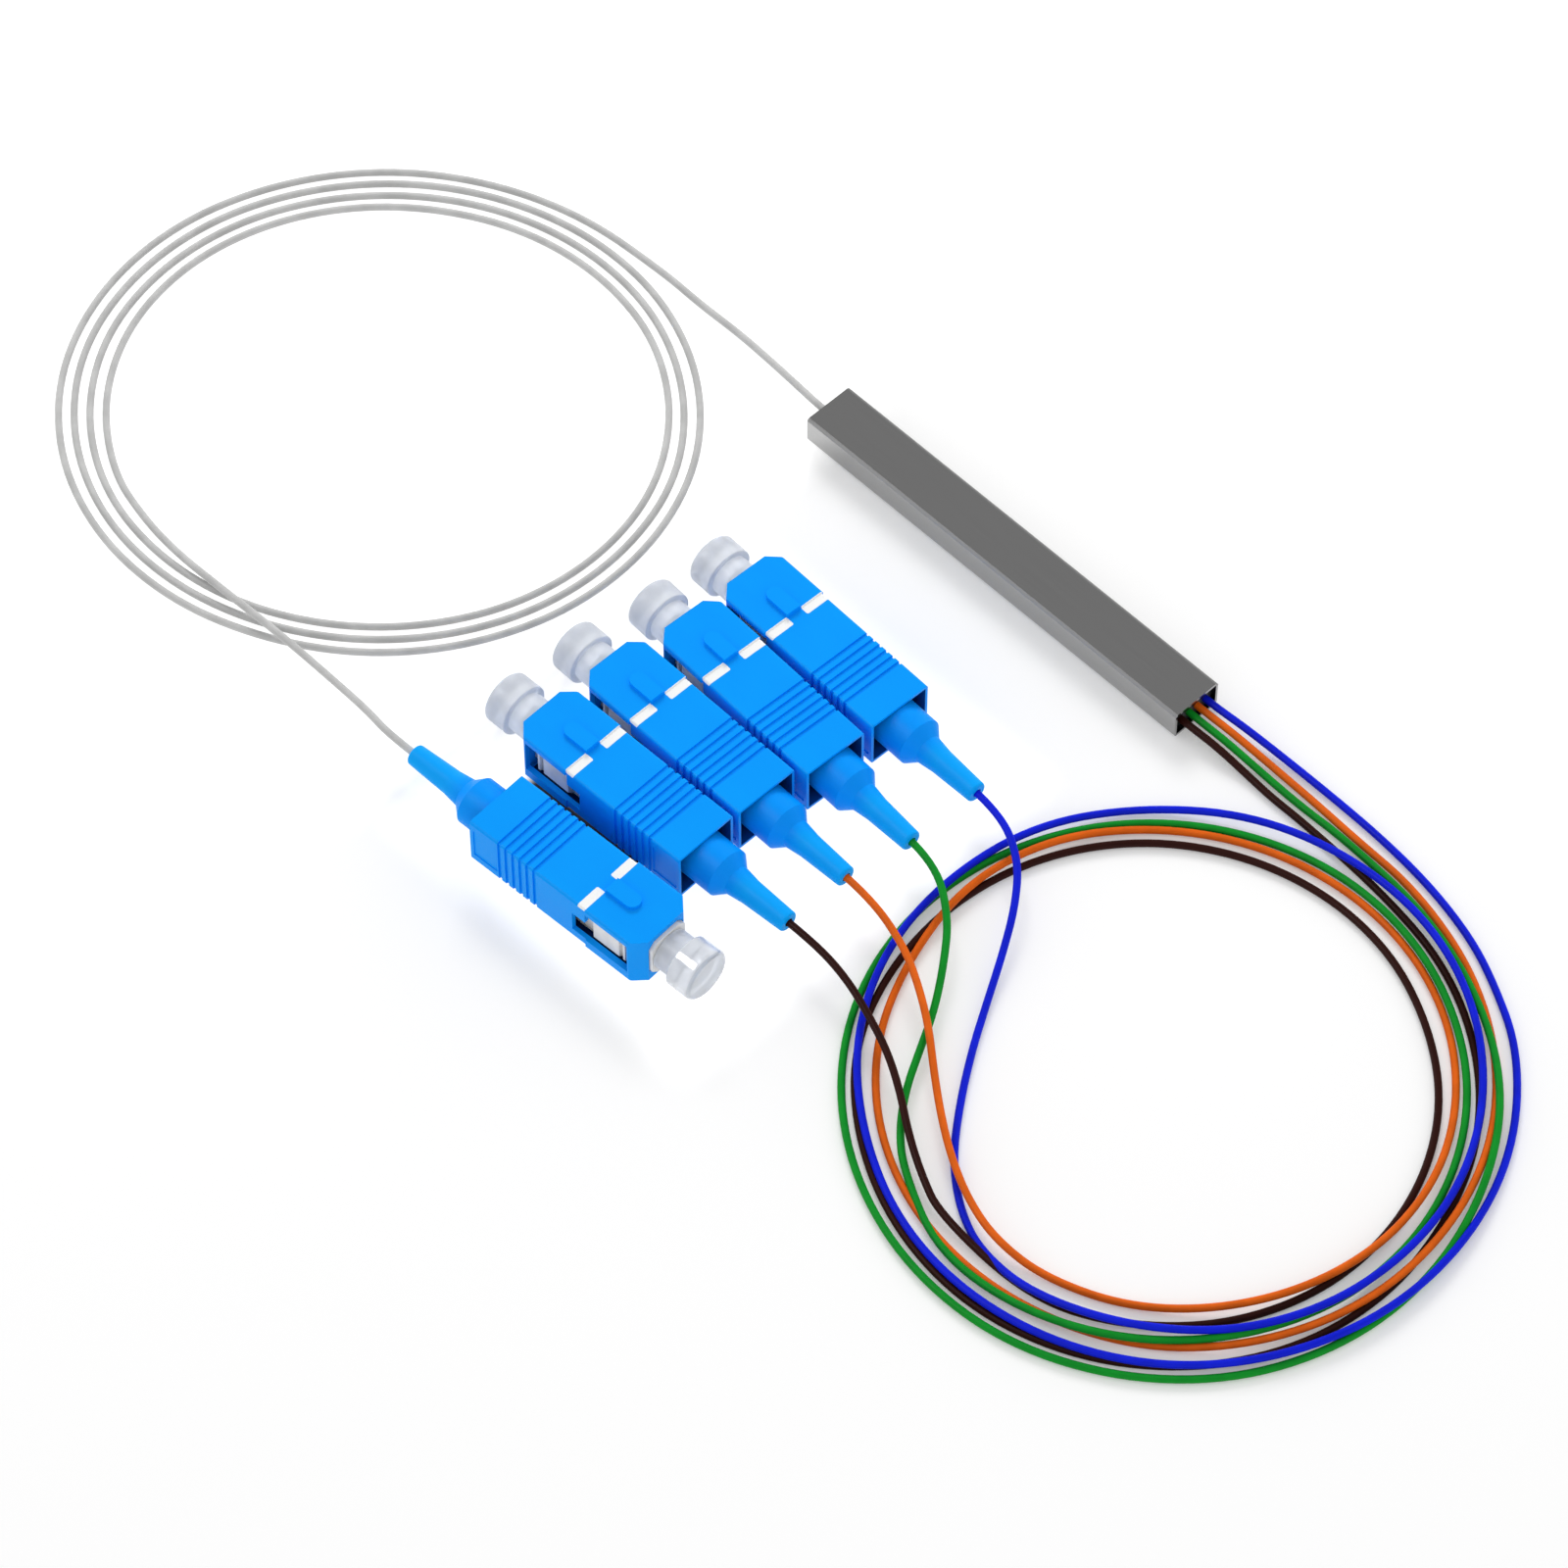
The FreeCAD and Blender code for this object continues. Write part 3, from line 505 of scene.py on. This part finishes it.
def painted_hollow_shade(x, y, z):
    """Painted shade: rises from none on the grip's outer faces to one deep inside its hollow."""
    wider = x.over(TAIL_FRONT) * TAIL_MORE
    across = (wider + HOLLOW_HALF_WIDTH - abs(y)).over(0.0)
    up = (wider + HOLLOW_HALF_HEIGHT - abs(z)).over(0.0)
    depth = x.ramp(GRIP_BACK + 0.5, GRIP_BACK - 3.0, 0.75, 1.0)
    return across * up * x.over(CORNER_BACK) * depth


def grip_finish(plug):
    """Moulded blue plastic with painted shade inside its hollow, and two printed dashes."""
    paint = Paint(f"{plug.name}_grip_plastic")
    place = paint.local(plug.line, plug.turn)
    x, y, z = paint.axes(place)
    dashes = printed_dashes(paint, x, y, z)
    flow = paint.noise(paint.local(plug.line, plug.turn, FLOW_STRETCH), 1.0, 3.0)
    plastic = paint.blend(flow.ramp(0.3, 0.7), GRIP_DEEP, GRIP_BLUE)
    shaded = paint.blend(painted_hollow_shade(x, y, z), plastic, GRIP_PAINTED_SHADE)
    colour = paint.blend(dashes, shaded, PRINT_WHITE)
    grain = paint.noise(place, 5.0, 3.0)
    roughness = grain.ramp(0.3, 0.7, 0.34, 0.44) + dashes * 0.12
    height = grain * 0.4 + dashes * 1.0
    return paint.surface(colour, roughness, paint.bump(height, 0.02 * MM, 0.6),
                         {"Specular IOR Level": 0.06})


# The boot's bell ends and its nose begins between these places on the plug, in millimetres
BELL_END = 21.5
NOSE_START = 25.0
BELL_DEEP = (0.001, 0.290, 0.970)
BELL_BLUE = (0.001, 0.318, 0.990)
NOSE_DEEP = (0.002, 0.365, 0.975)
NOSE_BLUE = (0.002, 0.395, 0.990)


def boot_finish(plug):
    """Soft blue rubber, deeper in colour than the grip on its bell and paler on its nose."""
    paint = Paint(f"{plug.name}_boot_rubber")
    place = paint.local(plug.line, plug.turn)
    grain = paint.noise(place, 4.0, 4.0, 0.6)
    cloud = paint.noise(place, 0.25, 2.0)
    bell = paint.blend(cloud.ramp(0.35, 0.65), BELL_DEEP, BELL_BLUE)
    nose = paint.blend(cloud.ramp(0.35, 0.65), NOSE_DEEP, NOSE_BLUE)
    x = paint.axes(place)[0]
    colour = paint.blend(x.ramp(BELL_END, NOSE_START), bell, nose)
    return paint.surface(colour, grain.ramp(0.3, 0.7, 0.36, 0.48), paint.bump(grain, 0.02 * MM, 0.5),
                         {"Specular IOR Level": 0.06})


# Ahead of this place on the plug is the cap's end face, which carries painted shade, in millimetres
CAP_FACE = -14.6
CAP_SIDE_DEEP = (0.77, 0.80, 0.86)
CAP_SIDE_PALE = (0.87, 0.90, 0.95)
# The end face's colour is painted shade
CAP_FACE_PAINTED_SHADE = (0.66, 0.71, 0.79)
# A cap's neck is dull; how dull its head is
NECK_START = -11.5
NECK_HAZE = 0.36
HEAD_HAZE = {"input": 0.07, "brown": 0.36, "orange": 0.34, "green": 0.35, "blue": 0.33}
# Its skin shines on the input plug's head
HEAD_SHINE = {"input": 1.0, "brown": 0.0, "orange": 0.0, "green": 0.0, "blue": 0.0}


def cap_finish(plug):
    """Milky, see-through plastic, with painted shade on its end face."""
    paint = Paint(f"{plug.name}_cap_plastic")
    place = paint.local(plug.line, plug.turn)
    cloud = paint.noise(place, 0.5, 3.0)
    grain = paint.noise(place, 6.0, 2.0)
    x = paint.axes(place)[0]
    side = paint.blend(cloud.ramp(0.3, 0.7), CAP_SIDE_DEEP, CAP_SIDE_PALE)
    colour = paint.blend(x.under(CAP_FACE), side, CAP_FACE_PAINTED_SHADE)
    head_haze = HEAD_HAZE[plug.name]
    haze = x.over(NECK_START) * (NECK_HAZE - head_haze) + head_haze
    roughness = haze + grain * 0.06
    shine = x.under(NECK_START) * HEAD_SHINE[plug.name]
    return paint.surface(colour, roughness, paint.bump(grain, 0.008 * MM, 0.3),
                         {"Transmission Weight": 0.5, "IOR": 1.42, "Coat Weight": shine,
                          "Coat Roughness": 0.05, "Coat IOR": 1.6})


def frame_finish(plug):
    """Off-white moulded plastic of the plug's inner frame."""
    paint = Paint(f"{plug.name}_frame_plastic")
    place = paint.local(plug.line, plug.turn)
    cloud = paint.noise(place, 0.6, 3.0)
    grain = paint.noise(place, 5.0, 2.0)
    colour = paint.blend(cloud.ramp(0.3, 0.7), (0.76, 0.75, 0.73), (0.86, 0.85, 0.83))
    return paint.surface(colour, grain.ramp(0.3, 0.7, 0.34, 0.46), paint.bump(grain, 0.02 * MM, 0.4))


def ceramic_finish():
    """Polished white ceramic."""
    paint = Paint("ferrule_ceramic")
    grain = paint.noise(paint.local(), 8.0, 2.0)
    colour = paint.blend(grain.ramp(0.3, 0.7), (0.82, 0.82, 0.80), (0.88, 0.88, 0.86))
    return paint.surface(colour, grain.ramp(0.3, 0.7, 0.12, 0.2), paint.bump(grain, 0.005 * MM, 0.3))


def nickel_finish():
    """Plated metal with fine turning marks."""
    paint = Paint("plated_nickel")
    grain = paint.noise(paint.local(), 7.0, 3.0)
    colour = paint.blend(grain.ramp(0.3, 0.7), (0.52, 0.50, 0.46), (0.62, 0.60, 0.56))
    return paint.surface(colour, grain.ramp(0.3, 0.7, 0.22, 0.34), paint.bump(grain, 0.01 * MM, 0.4),
                         {"Metallic": 1.0})


# Tube finishes

# The tube's middle height; how far the painted shade of its bore reaches from there, and where its
# edges begin
TUBE_MIDDLE = 2.0
BORE_HALF_WIDTH = 3.2
BORE_HALF_HEIGHT = 1.7
EDGE_HALF_WIDTH = 3.14
EDGE_HALF_HEIGHT = 1.64
STEEL_DEEP = (0.381, 0.380, 0.379)
STEEL_PALE = (0.398, 0.397, 0.396)
# Painted shade in the tube's bore
BORE_PAINTED_SHADE = (0.045, 0.045, 0.05)
# How the steel's streaks and clouds are drawn out along the tube, in millimetres
STREAK_STRETCH = (14.0, 0.16, 0.16)
STEEL_CLOUD_STRETCH = (12.0, 5.0, 5.0)


def steel_finish():
    """Drawn steel with grain along the tube, duller on its edges and with painted shade in its bore.
    """
    paint = Paint("drawn_steel")
    streaks = paint.noise(paint.local(scale=STREAK_STRETCH), 1.0, 4.0, 0.6)
    cloud = paint.noise(paint.local(scale=STEEL_CLOUD_STRETCH), 1.0, 3.0)
    x, y, z = paint.axes(paint.local((0.0, 0.0, TUBE_MIDDLE * MM)))
    inside = abs(y).under(BORE_HALF_WIDTH) * abs(z).under(BORE_HALF_HEIGHT)
    edge = abs(y).over(EDGE_HALF_WIDTH) * abs(z).over(EDGE_HALF_HEIGHT)
    bright = paint.blend(streaks.ramp(0.25, 0.75), STEEL_DEEP, STEEL_PALE)
    colour = paint.blend(inside, bright, BORE_PAINTED_SHADE)
    roughness = streaks.ramp(0.25, 0.75, 0.19, 0.22) + cloud * 0.02 + edge * 0.58
    return paint.surface(colour, roughness, paint.bump(streaks, 0.01 * MM, 0.05), {"Metallic": 1.0})


def resin_finish():
    """Cured dark resin round the fibres in the tube's mouth."""
    paint = Paint("dark_resin")
    place = paint.local()
    ripple = paint.noise(place, 0.9, 2.0)
    colour = paint.blend(ripple.ramp(0.3, 0.7), (0.006, 0.006, 0.007), (0.016, 0.015, 0.015))
    return paint.surface(colour, ripple.ramp(0.3, 0.7, 0.25, 0.4), paint.bump(ripple, 0.15 * MM, 0.6))


def glass_finish():
    """Ground glass of the chip and its fibre blocks, inside the closed tube."""
    paint = Paint("ground_glass")
    grain = paint.noise(paint.local(), 3.0, 3.0)
    colour = paint.blend(grain.ramp(0.3, 0.7), (0.70, 0.76, 0.76), (0.78, 0.83, 0.83))
    return paint.surface(colour, grain.ramp(0.3, 0.7, 0.3, 0.5), paint.bump(grain, 0.02 * MM, 0.4))


# Springs

# Ends, radius and wire in millimetres on the plug, and turns
SPRING_FRONT = 3.06
SPRING_BACK = 6.42
SPRING_RADIUS = 1.68
SPRING_WIRE = 0.42
SPRING_TURNS = 5.0


def spring_tree():
    """Geometry nodes that wind a wire into a spring along X."""
    tree = bpy.data.node_groups.new("wound_spring", "GeometryNodeTree")
    face = tree.interface
    face.new_socket("Geometry", in_out="INPUT", socket_type="NodeSocketGeometry")
    for name in ("Radius", "Wire", "Length", "Turns"):
        face.new_socket(name, in_out="INPUT", socket_type="NodeSocketFloat")
    face.new_socket("Place", in_out="INPUT", socket_type="NodeSocketVector")
    face.new_socket("Turn", in_out="INPUT", socket_type="NodeSocketVector")
    face.new_socket("Finish", in_out="INPUT", socket_type="NodeSocketMaterial")
    face.new_socket("Geometry", in_out="OUTPUT", socket_type="NodeSocketGeometry")

    def add(kind, **values):
        made = tree.nodes.new(kind)
        for name, value in values.items():
            setattr(made, name, value)
        return made

    def join(source, name, target, socket):
        tree.links.new(source.outputs[name], target.inputs[socket])

    given = add("NodeGroupInput")
    spiral = add("GeometryNodeCurveSpiral")
    spiral.inputs["Resolution"].default_value = 20
    join(given, "Turns", spiral, "Rotations")
    join(given, "Radius", spiral, "Start Radius")
    join(given, "Radius", spiral, "End Radius")
    join(given, "Length", spiral, "Height")
    ring = add("GeometryNodeCurvePrimitiveCircle")
    ring.inputs["Resolution"].default_value = 10
    half = add("ShaderNodeMath", operation="MULTIPLY")
    half.inputs[1].default_value = 0.5
    join(given, "Wire", half, 0)
    tree.links.new(half.outputs[0], ring.inputs["Radius"])
    wire = add("GeometryNodeCurveToMesh")
    wire.inputs["Fill Caps"].default_value = True
    join(spiral, "Curve", wire, "Curve")
    join(ring, "Curve", wire, "Profile Curve")
    lay = add("GeometryNodeTransform")
    join(wire, "Mesh", lay, "Geometry")
    join(given, "Place", lay, "Translation")
    join(given, "Turn", lay, "Rotation")
    smooth = add("GeometryNodeSetShadeSmooth")
    join(lay, "Geometry", smooth, "Geometry")
    real = add("GeometryNodeRealizeInstances")
    join(smooth, "Geometry", real, "Geometry")
    finish = add("GeometryNodeSetMaterial")
    join(real, "Geometry", finish, "Geometry")
    join(given, "Finish", finish, "Material")
    result = add("NodeGroupOutput")
    join(finish, "Geometry", result, "Geometry")
    return tree


def grown(name, tree, values):
    """A plain mesh object grown by a tree of geometry nodes with these inputs."""
    seed = bpy.data.objects.new(f"{name}_seed", bpy.data.meshes.new(f"{name}_seed"))
    scene.collection.objects.link(seed)
    modifier = seed.modifiers.new("grow", "NODES")
    modifier.node_group = tree
    sockets = {item.name: item.identifier for item in tree.interface.items_tree
               if item.in_out == "INPUT"}
    for label, value in values.items():
        modifier[sockets[label]] = value
    bpy.context.view_layer.update()
    evaluated = seed.evaluated_get(bpy.context.evaluated_depsgraph_get())
    mesh = bpy.data.meshes.new_from_object(evaluated)
    bpy.data.objects.remove(seed)
    made = bpy.data.objects.new(name, mesh)
    scene.collection.objects.link(made)
    return made


def add_spring(plug, tree, material):
    """The coiled spring behind a plug's ferrule, in place of its sleeve."""
    length = SPRING_BACK - SPRING_FRONT - SPRING_WIRE
    spring = grown(f"{plug.name}_spring_wire", tree, {
        "Radius": (SPRING_RADIUS - SPRING_WIRE / 2) * MM,
        "Wire": SPRING_WIRE * MM,
        "Length": length * MM,
        "Turns": SPRING_TURNS,
        "Place": tuple(plug.at(SPRING_FRONT + SPRING_WIRE / 2)),
        "Turn": (0.0, math.pi / 2, plug.turn),
        "Finish": material,
    })
    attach(spring, ROOT)
    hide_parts(f"{plug.name}_spring")
    tuple(plug.at(SPRING_BACK))
    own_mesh(spring)


# Table, light and sky

FLOOR_SIZE = 6.0
# Lamps: floor angle, height and roll in degrees, distance, width and depth in metres, watts.
# The key only lights what is dull and the strip only shows in what shines
LAMPS = {
    "key": (138.0, 36.0, 0.0, 0.9, 0.4, 0.3, 3.4),
    "strip": (231.3, 56.7, -55.7, 0.9, 0.38, 0.2, 3.1),
}
SKY_LIGHT = 0.68
SKY_RIM = 1.15
SKY_TOP = 0.38
# How high the sky starts to fade and where it has faded, as parts of straight up
SKY_FADE = (0.15, 0.75)
# The table is plain paper, with panes lit from below that soften shadows on them.
# For each: its own colour, the light it gives off, and what it adds where it is seen
PAPER = (0.80, 0.07, 0.14)
LIT_PANE = (0.36, 0.56, 0.38)
# The panes under the plugs and the white coil: middle and half sizes, and soft rim, in millimetres
PANES = (((0.0, -47.0), (28.0, 32.0)), ((-70.0, -37.0), (46.0, 46.0)))
PANE_RIM = 7.0
# The shaded strip of table between the input plug and the row, in millimetres from its line
SHADE_MIDDLE = (11.0, -6.2)
SHADE_HALF = (10.0, 3.0)
SHADE_SOLID = (0.8, 0.6)
SHADE_COLOUR = LIT_PANE[0] * 0.2
# The table lies this far below the pieces, in millimetres
TABLE_DROP = 0.02


def lit_panes(paint):
    """One on the table's two lit panes, fading at their rims."""
    x, y, z = paint.axes(paint.local())
    first, second = [abs(x - middle[0]).ramp(half[0], half[0] - PANE_RIM)
                     * abs(y - middle[1]).ramp(half[1], half[1] - PANE_RIM)
                     for middle, half in PANES]
    return first.at_least(second)


def shaded_gap(paint):
    """One on the strip of table that the input plug and the row keep dark between them."""
    plug = plugs["input"]
    x, y, z = paint.axes(paint.local(plug.line, plug.turn))
    sides = [abs(axis - middle).ramp(half, half * solid) for axis, middle, half, solid
             in zip((x, y), SHADE_MIDDLE, SHADE_HALF, SHADE_SOLID)]
    return sides[0] * sides[1]


def add_floor():
    paint = Paint("table_white")
    grain = paint.noise(paint.objects, 900.0, 2.0)
    pane = lit_panes(paint)
    shade = shaded_gap(paint)
    white = paint.blend(pane, (PAPER[0],) * 3, (LIT_PANE[0],) * 3)
    white = paint.blend(shade, white, (SHADE_COLOUR,) * 3)
    diffuse = paint.node("BsdfDiffuse", None,
                         {"Color": white, "Normal": paint.bump(grain, 0.01 * MM, 0.1)})
    path = paint.tree.nodes.new("ShaderNodeLightPath")
    camera = Signal(paint, path.outputs["Is Camera Ray"])
    glossy = Signal(paint, path.outputs["Is Glossy Ray"])
    through = Signal(paint, path.outputs["Is Transmission Ray"])
    seen = camera.math("MAXIMUM", glossy).math("MAXIMUM", through)
    given = pane * (LIT_PANE[1] - PAPER[1]) + PAPER[1]
    added = (pane * (LIT_PANE[2] - PAPER[2]) + PAPER[2]) * seen
    strength = (given + added) * (1.0 - shade)
    glow = paint.node("Emission", None, {"Color": (1.0, 1.0, 1.0, 1.0), "Strength": strength})
    both = paint.node("AddShader", None, {0: diffuse, 1: glow})
    result = paint.tree.nodes.new("ShaderNodeOutputMaterial")
    paint.tree.links.new(both.socket, result.inputs["Surface"])
    half = FLOOR_SIZE / 2
    mesh = bpy.data.meshes.new("table")
    mesh.from_pydata([(-half, -half, 0), (half, -half, 0), (half, half, 0), (-half, half, 0)], [],
                     [(0, 1, 2, 3)])
    mesh.materials.append(paint.material)
    floor = bpy.data.objects.new("table", mesh)
    floor.location.z = -TABLE_DROP * MM
    scene.collection.objects.link(floor)


def add_lamps():
    for name, (angle, height, roll, distance, width, depth, power) in LAMPS.items():
        data = bpy.data.lights.new(f"{name}_lamp", "AREA")
        data.shape = "RECTANGLE"
        data.size = width
        data.size_y = depth
        data.energy = power
        lamp = bpy.data.objects.new(f"{name}_lamp", data)
        turn, lift = math.radians(angle), math.radians(height)
        level = math.cos(lift)
        away = Vector((math.cos(turn) * level, math.sin(turn) * level, math.sin(lift)))
        lamp.location = CAMERA_TARGET + away * distance
        rolled = Quaternion((0.0, 0.0, 1.0), math.radians(roll))
        lamp.rotation_euler = (away.to_track_quat("Z", "Y") @ rolled).to_euler()
        lamp.visible_diffuse = name == "key"
        lamp.visible_glossy = name == "strip"
        scene.collection.objects.link(lamp)


def add_sky():
    """Even light from all round; mirrors see white walls under a greyer ceiling."""
    world = bpy.data.worlds.new("sky")
    scene.world = world
    world.use_nodes = True
    tree = world.node_tree
    tree.nodes.clear()
    path = tree.nodes.new("ShaderNodeLightPath")
    place = tree.nodes.new("ShaderNodeTexCoord")
    parts = tree.nodes.new("ShaderNodeSeparateXYZ")
    tree.links.new(place.outputs["Generated"], parts.inputs[0])

    def fading(rim, top):
        """A strength that falls from the sky's rim to its top."""
        fade = tree.nodes.new("ShaderNodeMapRange")
        fade.interpolation_type = "SMOOTHSTEP"
        for name, value in (("From Min", SKY_FADE[0]), ("From Max", SKY_FADE[1]), ("To Min", rim),
                            ("To Max", top)):
            fade.inputs[name].default_value = value
        tree.links.new(parts.outputs["Z"], fade.inputs["Value"])
        return fade.outputs["Result"]

    seen = tree.nodes.new("ShaderNodeMath")
    seen.operation = "MAXIMUM"
    tree.links.new(path.outputs["Is Glossy Ray"], seen.inputs[0])
    tree.links.new(path.outputs["Is Transmission Ray"], seen.inputs[1])
    light = tree.nodes.new("ShaderNodeBackground")
    tree.links.new(fading(SKY_RIM, SKY_LIGHT), light.inputs["Strength"])
    mirrored = tree.nodes.new("ShaderNodeBackground")
    tree.links.new(fading(1.0, SKY_TOP), mirrored.inputs["Strength"])
    shown = tree.nodes.new("ShaderNodeBackground")
    shown.inputs["Color"].default_value = (1.0, 1.0, 1.0, 1.0)
    mixed = tree.nodes.new("ShaderNodeMixShader")
    tree.links.new(seen.outputs[0], mixed.inputs[0])
    tree.links.new(light.outputs[0], mixed.inputs[1])
    tree.links.new(mirrored.outputs[0], mixed.inputs[2])
    final = tree.nodes.new("ShaderNodeMixShader")
    tree.links.new(path.outputs["Is Camera Ray"], final.inputs[0])
    tree.links.new(mixed.outputs[0], final.inputs[1])
    tree.links.new(shown.outputs[0], final.inputs[2])
    result = tree.nodes.new("ShaderNodeOutputWorld")
    tree.links.new(final.outputs[0], result.inputs["Surface"])
    for background in (light, mirrored):
        background.inputs["Color"].default_value = (1.0, 1.0, 1.0, 1.0)


# The whole scene

scene.view_settings.view_transform = "Standard"
add_camera()
heights = coil_heights()
for plug in plugs.values():
    jacket = fibre_finish(plug.name, FIBRE_COLOURS[plug.name])
    add_fibre(plug, heights.get(plug.name), jacket)

nickel = nickel_finish()
ceramic = ceramic_finish()
winding = spring_tree()
for plug in plugs.values():
    dress(f"{plug.name}_grip", grip_finish(plug))
    dress(f"{plug.name}_boot", boot_finish(plug))
    dress(f"{plug.name}_cap", cap_finish(plug))
    dress(f"{plug.name}_frame", frame_finish(plug))
    dress(f"{plug.name}_ferrule", ceramic)
    dress(f"{plug.name}_flange", nickel)
    dress(f"{plug.name}_stop", nickel)
    add_spring(plug, winding, nickel)

dress("steel_tube", steel_finish())
resin = resin_finish()
glass = glass_finish()
for end in ("input", "output"):
    dress(f"{end}_seal", resin)
    dress(f"{end}_fibre_block", glass)
dress("plc_chip", glass)

add_floor()
add_lamps()
add_sky()
